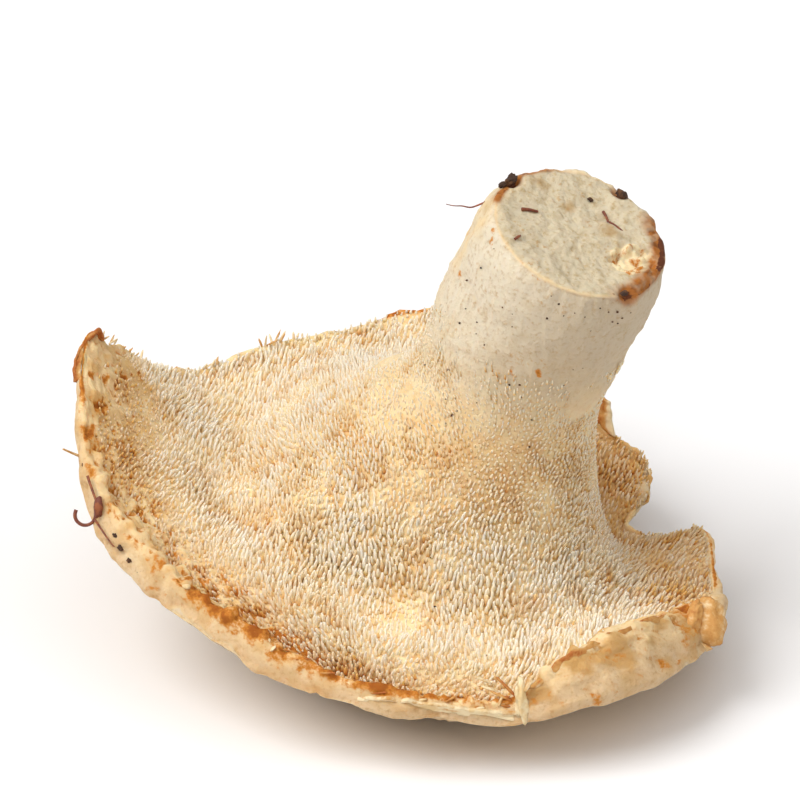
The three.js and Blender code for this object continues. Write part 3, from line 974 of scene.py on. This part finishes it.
rimValues = {
    # station, place, length, lean along the rim, width, how brown
    "chips": [(19.8, 6.95, 1.1, 0.9, 0.8, 0.1), (21.2, 6.9, 1.4, 0.7, 0.6, 0.0), (21.35, 7.1, 1.2, -0.6, 0.5, 0.0),
              (21.5, 6.85, 1.0, 0.3, 0.5, 0.1), (21.7, 7.2, 2.2, 0.9, 0.35, 0.9), (21.95, 7.0, 2.4, 0.9, 0.4, 1.0),
              (22.4, 6.9, 2.0, 0.95, 0.35, 0.9), (22.8, 7.3, 1.6, -0.5, 0.4, 0.8), (23.2, 6.75, 2.4, 0.97, 0.4, 0.9),
              (23.75, 6.7, 2.6, 0.97, 0.5, 0.0), (24.2, 6.95, 1.8, 0.8, 0.4, 0.8), (24.55, 6.65, 2.4, 0.98, 0.5, 0.0),
              (24.9, 6.9, 1.7, 0.6, 0.4, 0.5), (25.0, 7.15, 1.5, -0.5, 0.45, 0.9),
              (25.35, 6.95, 1.6, -0.7, 0.4, 0.7)],
    # foot, tip, width and how brown
    "slivers": [
        ((10.4, -39.8, 9.9), (15.6, -40.1, 8.6), 1.2, 0.05), ((15.4, -38.6, 11.0), (12.6, -37.2, 13.4), 0.5, 0.9),
        ((16.6, -38.8, 11.0), (18.6, -38.6, 10.0), 0.55, 0.9), ((14.9, -38.9, 10.6), (11.6, -38.6, 12.2), 0.45, 0.8),
        ((14.6, -39.2, 10.0), (12.4, -39.4, 10.6), 0.4, 0.9), ((16.3, -38.0, 12.2), (17.4, -36.2, 13.6), 0.45, 0.7),
        ((12.2, -37.8, 12.6), (9.8, -37.4, 13.6), 0.5, 0.2), ((13.0, -38.4, 11.8), (10.6, -38.2, 12.6), 0.5, 0.1)],
    "membrane": {"from": 25.3, "to": 28.0, "place": 6.85, "rise": 1.2, "thick": 0.45, "turnIn": 0.4, "brown": 0.35},
    "peel": {"from": 22.9, "to": 25.15, "place": 6.5, "rise": 1.3, "thick": 0.5, "turnIn": -0.5, "brown": -0.2},
    "curl": {"from": 15.75, "to": 14.5, "place": 6.9, "thick": 0.5, "belly": 0.25,
             "top": [(-42.0, 2.4, 34.4), (-42.1, 3.6, 35.4), (-41.6, 6.0, 36.5), (-40.2, 8.4, 37.3),
                     (-38.9, 10.0, 38.0), (-38.3, 10.9, 35.9)]},
    # station, spread, number and shortest and longest of the frayed fibres
    "fringe": [(13.9, 0.7, 14, 0.7, 1.6), (10.87, 0.15, 7, 0.9, 2.0), (11.75, 0.15, 5, 0.7, 1.4),
               (10.5, 0.1, 4, 0.5, 1.1), (12.0, 1.6, 14, 0.3, 0.8), (5.9, 0.9, 16, 0.4, 1.0),
               (2.15, 0.15, 4, 0.3, 0.7), (3.2, 0.8, 8, 0.3, 0.6)],
    "lobeFlap": {"corners": [(25.2, 29.4, 13.2), (28.4, 27.2, 12.0), (25.8, 29.8, 17.6), (27.8, 28.6, 16.4)],
                 "thick": 0.35},
    # middle, half sizes up, across and deep, lean to the right, how brown
    "ears": [((40.3, -20.4, 11.7), (3.2, 2.2, 1.6), -0.1, 0.56), ((38.2, -21.5, 12.3), (2.8, 1.1, 1.1), 0.28, 0.7),
             ((38.8, -22.6, 9.3), (0.6, 1.8, 0.6), 0.2, 0.4)],
    "blade": [(-41.0, -6.0, 28.0), (-42.2, -6.8, 29.0), (-43.5, -7.5, 30.1)],
    "flakes": [((16.4, -40.4, 8.9), (15.6, -39.0, 13.6), 1.5, 0.05),
               ((15.2, -40.0, 8.6), (15.8, -39.6, 11.4), 0.9, 0.1),
               ((16.2, -39.6, 12.2), (17.4, -38.6, 14.2), 0.7, 0.3)],
    "cream": (420.0, 0.4, 0.7, 0.14, "f0dcb2", "deb878"),
}


def buildChips():
    parts = []
    for k, (station, place, length, lean, width, rust) in enumerate(rimValues["chips"]):
        spot, normal = spotOn(station, place)
        ahead, _ = spotOn(station + 0.2, place)
        along = unit(ahead - spot)
        inward = np.cross(normal, along)
        axis = unit(along * lean + inward * math.sqrt(1 - lean**2) + normal * 0.2)
        foot = spot + normal * 0.1 - axis * length / 2
        parts.append(addSliver(foot, foot + axis * length, width, width * 0.7, rust, 100 + k))
    blade = addThread(rimValues["blade"], 0.2, 0.6)
    setMask(blade, "rust", 0.4)
    parts.append(blade)
    for kind, flatness, seed, rough, level in (("flakes", 0.5, 130, 0.7, 3), ("slivers", 0.7, 140, 0.3, 2)):
        for k, (foot, tip, width, rust) in enumerate(rimValues[kind]):
            parts.append(addSliver(foot, tip, width, width * flatness, rust, seed + k, rough, level))
    return parts


def buildMembrane(values):
    wide, deep = 90, 9
    rows = np.zeros((deep, wide, 3))
    rust = np.zeros((deep, wide))
    for i, station in enumerate(np.linspace(values["from"], values["to"], wide)):
        spot, normal = spotOn(station, values["place"])
        inward = unit([stemFoot[0] - spot[0], stemFoot[1] - spot[1], 0.0])
        share = i / (wide - 1)
        ragged = 1 + 0.35 * noise.noise((station * 2.1, 3.0, 0.0)) + 0.45 * noise.noise((station * 7.0, 9.0, 0.0))
        rise = values["rise"] * max(ragged, 0.1) * min(1, 6 * share, 6 * (1 - share) + 0.1)
        for j in range(deep):
            up = j / (deep - 1)
            rows[j, i] = (spot + [0, 0, rise * up - 0.5] + inward * values["turnIn"] * rise * up**2
                          + normal * 0.15 * noise.noise((station * 3.0, up * 2.0, 5.0)))
            rust[j, i] = values["brown"] + 0.5 * up + 0.5 * noise.noise((station * 2.5, up * 2.0, 1.0))
    return addSheet(rows, values["thick"], np.clip(rust, 0, 1))


def followLine(points, count):
    # even steps along a smooth line through points
    knots = np.asarray(points, dtype=float)[:, None]
    line = openSpline(knots, np.linspace(0, len(points) - 1, 12 * len(points)))[:, 0]
    length = np.concatenate([[0], np.cumsum(np.linalg.norm(np.diff(line, axis=0), axis=1))])
    steps = np.linspace(0, length[-1], count)
    return np.stack([np.interp(steps, length, line[:, k]) for k in range(3)], axis=1)


def buildCurl(values):
    wide, deep = 60, 12
    stations = np.linspace(values["from"], values["to"], wide)
    foot = np.array([spotOn(station, values["place"])[0] - [0, 0, 0.6] for station in stations])
    top = followLine(values["top"], wide)
    rows = np.zeros((deep, wide, 3))
    rust = np.zeros((deep, wide))
    for j in range(deep):
        up = j / (deep - 1)
        rows[j] = foot + (top - foot) * up
        rows[j, :, 0] -= values["belly"] * math.sin(math.pi * up)
        rust[j] = 0.7 + 0.6 * up
    rows += 0.12 * wobble(rows, 1.2, 80)
    return addSheet(rows, values["thick"], np.clip(rust + 0.5 * bumps(rows, 1.6, 84), 0, 1))


def buildQuad(values):
    # a small upright flap between four corners
    a, b, c, d = (np.array(corner) for corner in values["corners"])
    across, up = np.meshgrid(np.linspace(0, 1, 12), np.linspace(0, 1, 16))
    across, up = across[..., None], up[..., None]
    rows = (a * (1 - across) + b * across) * (1 - up) + (c * (1 - across) + d * across) * up
    rows = rows + 0.3 * wobble(rows, 1.6, 86)
    rust = 0.75 - 0.7 * smooth(across, 0.6, 0.9) + 0.3 * bumps(rows, 1.2, 89)[..., None]
    return addSheet(rows, values["thick"], np.clip(rust[..., 0], 0, 1))


def buildFringe():
    # frayed fibres where the corner and the far edge are torn
    draw = random.Random(5)
    parts = []
    for middle, spread, count, shortest, longest in rimValues["fringe"]:
        for k in range(count):
            spot, normal = spotOn(middle + draw.uniform(-spread, spread), 7.1)
            axis = unit([draw.uniform(-0.3, 0.8), draw.uniform(-0.4, 0.4), draw.uniform(0.6, 1.0)])
            length = draw.uniform(shortest, longest)
            parts.append(addSliver(spot - axis * 0.3, spot + axis * length, 0.34, 0.26, draw.choice([0.0, 0.1, 0.5]),
                                   160 + len(parts)))
    return parts


def buildEars():
    ears = []
    for k, (middle, half, lean, rust) in enumerate(rimValues["ears"]):
        up, deep = imageUp + lean * imageRight, np.cross(imageRight, imageUp)
        ears.append(addLump(middle, half, up, deep, 0.18, 200 + 2 * k, 4))
        setMask(ears[-1], "rust", rust + 0.16 * bumps(getPoints(ears[-1]) / mm, 1.3, 90 + k))
    return ears


def makeRimMaterial():
    material, tree, shader = newMaterial("tornRim", 0.65)
    grain = felted(tree, 1500.0, 0.9)
    level = maths(tree, "ADD", mask(tree, "rust"), ease(tree, grain, 0.6, 1.3, (-0.28, 0.28)))
    colour = layOver(tree, mottled(tree, rimValues["cream"]), [
        (ease(tree, level, 0.1, 0.65), "cc9650"), (ease(tree, level, 0.6, 1.1), "ab5c16")])
    plug(shader, {"Base Color": colour})
    addBump(tree, shader, grain, 0.5, 0.0005)
    return material


tornRim = makeRimMaterial()
joinPieces(buildChips(), "rimChips", tornRim)
joinPieces([buildMembrane(rimValues["membrane"])], "lipMembrane", tornRim)
joinPieces([buildMembrane(rimValues["peel"])], "peeledEdge", tornRim)
joinPieces([buildCurl(rimValues["curl"])] + buildFringe(), "cornerCurl", tornRim)
joinPieces([buildQuad(rimValues["lobeFlap"])], "lobeFlap", tornRim)
joinPieces(buildEars(), "earCurl", tornRim)
print("rim details ready")

# soil, rootlets and needles that cling to it
litterValues = {
    "ring": {"middle": (-40.6, -13.0, 23.4), "radius": 1.35, "thick": 0.26, "from": 150, "to": 372},
    # thickness, how much of it is left at the end, and points: the ring's tail, a wisp on the cut, a sprig
    "threads": [
        (0.16, 0.6, [(-39.3, -14.0, 23.2), (-38.3, -16.2, 22.9), (-37.6, -17.4, 22.2), (-36.8, -18.6, 21.9)]),
        (0.16, 0.35, [(12.6, 0.0, 63.4), (11.0, 0.2, 62.4), (10.4, -0.2, 62.4), (9.3, 0.2, 61.6),
                      (8.2, -0.2, 62.4), (7.3, 0.2, 61.9), (6.2, 0.0, 62.4)]),
        (0.2, 0.8, [(-40.3, -10.2, 27.6), (-39.8, -11.6, 26.6), (-39.2, -12.8, 25.6), (-38.9, -13.6, 24.9)])],
    "knot": [(-38.9, -12.9, 26.2), (-38.9, -14.3, 23.6)],
    # needles on the cut: (station, place) of both ends, half thickness
    "needles": [((14.0, 15.62), (12.9, 15.93), 0.25), ((6.82, 15.88), (5.6, 16.02), 0.22),
                ((5.5, 16.0), (3.4, 15.85), 0.16), ((18.94, 15.3), (18.45, 15.5), 0.2)],
    # station, place, half its length, width and height
    "clods": [(11.7, 14.98, 1.0, 0.6, 0.5), (12.2, 14.8, 0.6, 0.5, 0.4), (6.8, 15.2, 0.75, 0.5, 0.55),
              (7.52, 15.75, 0.4, 0.28, 0.25), (18.5, 6.45, 0.5, 0.3, 0.25),
              (18.75, 6.4, 0.35, 0.3, 0.25), (19.0, 6.35, 0.3, 0.22, 0.2), (18.3, 6.55, 0.4, 0.25, 0.25),
              (16.95, 6.6, 0.4, 0.15, 0.2), (27.2, 15.05, 0.7, 0.35, 0.3)],
    "crumbs": 70,
    "crumbSize": (0.09, 0.2),
    "clusters": [(23.0, 13.5), (25.0, 12.6), (20.5, 13.0), (27.0, 13.9), (22.0, 12.2), (24.5, 14.2)],
}


def buildClods():
    parts = []
    for k, (station, place, *half) in enumerate(litterValues["clods"]):
        spot, normal = spotOn(station, place)
        ahead, _ = spotOn(station + 0.3, place)
        parts.append(addLump(spot + normal * half[2] * 0.4, half, ahead - spot, normal, 0.5, 220 + 2 * k, 3))
    draw = random.Random(3)
    for k in range(litterValues["crumbs"]):
        if k % 3:
            middle = draw.choice(litterValues["clusters"])
            station, place = middle[0] + draw.gauss(0, 0.8), min(middle[1] + draw.gauss(0, 0.35), 14.6)
        else:
            station, place = draw.uniform(17, 28), draw.uniform(8.5, 14.6)
        spot, normal = spotOn(station, place)
        lift = 0.05 if place > 12.2 else 0.6 if place < 11 else 0.2
        size = draw.uniform(*litterValues["crumbSize"]) * np.array([1, 0.8, 0.7])
        parts.append(addLump(spot + normal * lift, size, (1, 0, 0), normal, 0.4, 260 + k, 1))
    return parts


def buildRootlets():
    ring = litterValues["ring"]
    turns = np.radians(np.linspace(ring["from"], ring["to"], 14))
    loop = [np.array(ring["middle"]) + ring["radius"] * (math.cos(a) * imageRight + math.sin(a) * imageUp)
            for a in turns]
    parts = [addThread(loop, ring["thick"], 0.8)]
    parts += [addThread(points, thick, thinEnd) for thick, thinEnd, points in litterValues["threads"]]
    knot = addSliver(*litterValues["knot"], 1.3, 1.0, 0.0, 300)
    knot.data.attributes.remove(knot.data.attributes["rust"])
    parts.append(knot)
    for first, last, thick in litterValues["needles"]:
        (a, normalA), (b, normalB) = spotOn(*first), spotOn(*last)
        middle = (a + b) / 2 + normalA * 0.3
        parts.append(addThread([a + normalA * 0.15, middle, middle, b + normalB * 0.15], thick, 0.7))
    return parts


def makeSoilMaterial(name, colour, patch, roughness):
    material, tree, shader = newMaterial(name, roughness)
    plug(shader, {"Base Color": mottled(tree, (900.0, 0.5, 0.8, 0.14, colour, patch))})
    addBump(tree, shader, felted(tree, 2200.0, 0.6), 0.6, 0.0003)
    return material


joinPieces(buildClods(), "soil", makeSoilMaterial("soilCrumb", "3a2416", "6a4526", 0.9))
joinPieces(buildRootlets(), "rootlets", makeSoilMaterial("rootBark", "6a2c14", "96501f", 0.5))
print("litter ready")


# stage, lamps and camera
stageValues = {"floorSize": 6.0, "floorColour": "f6f6f7", "cameraWhite": 0.01, "sky": 0.1, "skyColour": "ffecd9",
               # strength, angle and where each lamp shines from
               "lamps": {"key": (2.15, 45, (-0.6, -0.24, 0.8)), "front": (0.18, 40, (-0.2, -0.85, 0.5)),
                         "fill": (1.7, 90, (0.12, -0.3, 1.0))}}
cameraValues = {"elevation": 30.0, "away": 3.0, "width": 0.104, "lookAt": (0.0, 0.0, 0.0335)}


def seenByCamera(tree):
    rays = addNode(tree, "ShaderNodeLightPath").outputs
    return maths(tree, "MAXIMUM", rays["Is Camera Ray"], rays["Is Glossy Ray"])


def makeFloor():
    selectOnly()
    bpy.ops.mesh.primitive_plane_add(size=stageValues["floorSize"])
    floor = bpy.context.active_object
    floor.name = "floor"
    material, tree, shader = newMaterial("floorPaint", 0.9)
    glow = maths(tree, "MULTIPLY", seenByCamera(tree), stageValues["cameraWhite"])
    plug(shader, {"Base Color": linear(stageValues["floorColour"]), "Specular IOR Level": 0.1,
                  "Emission Color": (1, 1, 1, 1), "Emission Strength": glow})
    floor.data.materials.append(material)


def makeSky():
    world = bpy.data.worlds.new("sky")
    bpy.context.scene.world = world
    world.use_nodes = True
    tree = world.node_tree
    tree.nodes.clear()
    seen = seenByCamera(tree)
    strength = addNode(tree, "ShaderNodeMapRange", {"Value": seen, "To Min": stageValues["sky"], "To Max": 1.0})
    colour = mixColours(tree, seen, linear(stageValues["skyColour"]), (1, 1, 1, 1))
    light = addNode(tree, "ShaderNodeBackground", {"Color": colour, "Strength": strength.outputs[0]})
    addNode(tree, "ShaderNodeOutputWorld", {0: light.outputs[0]})


def makeLamp(name, strength, angle, source):
    bpy.ops.object.light_add(type="SUN", location=source)
    lamp = bpy.context.active_object
    lamp.name = name
    lamp.rotation_euler = Vector(source).to_track_quat("Z", "Y").to_euler()
    lamp.data.energy = strength
    lamp.data.angle = math.radians(angle)


def makeCamera():
    tilt = math.radians(cameraValues["elevation"])
    back = Vector((0, -math.cos(tilt), math.sin(tilt)))
    bpy.ops.object.camera_add(location=Vector(cameraValues["lookAt"]) + back * cameraValues["away"])
    camera = bpy.context.active_object
    camera.rotation_euler = back.to_track_quat("Z", "Y").to_euler()
    camera.data.sensor_width = 36
    camera.data.lens = 36 * cameraValues["away"] / cameraValues["width"]
    camera.data.clip_start = 0.2
    bpy.context.scene.camera = camera


makeFloor()
makeSky()
for name, values in stageValues["lamps"].items():
    makeLamp(name, *values)
makeCamera()
bpy.context.scene.view_settings.view_transform = "Standard"
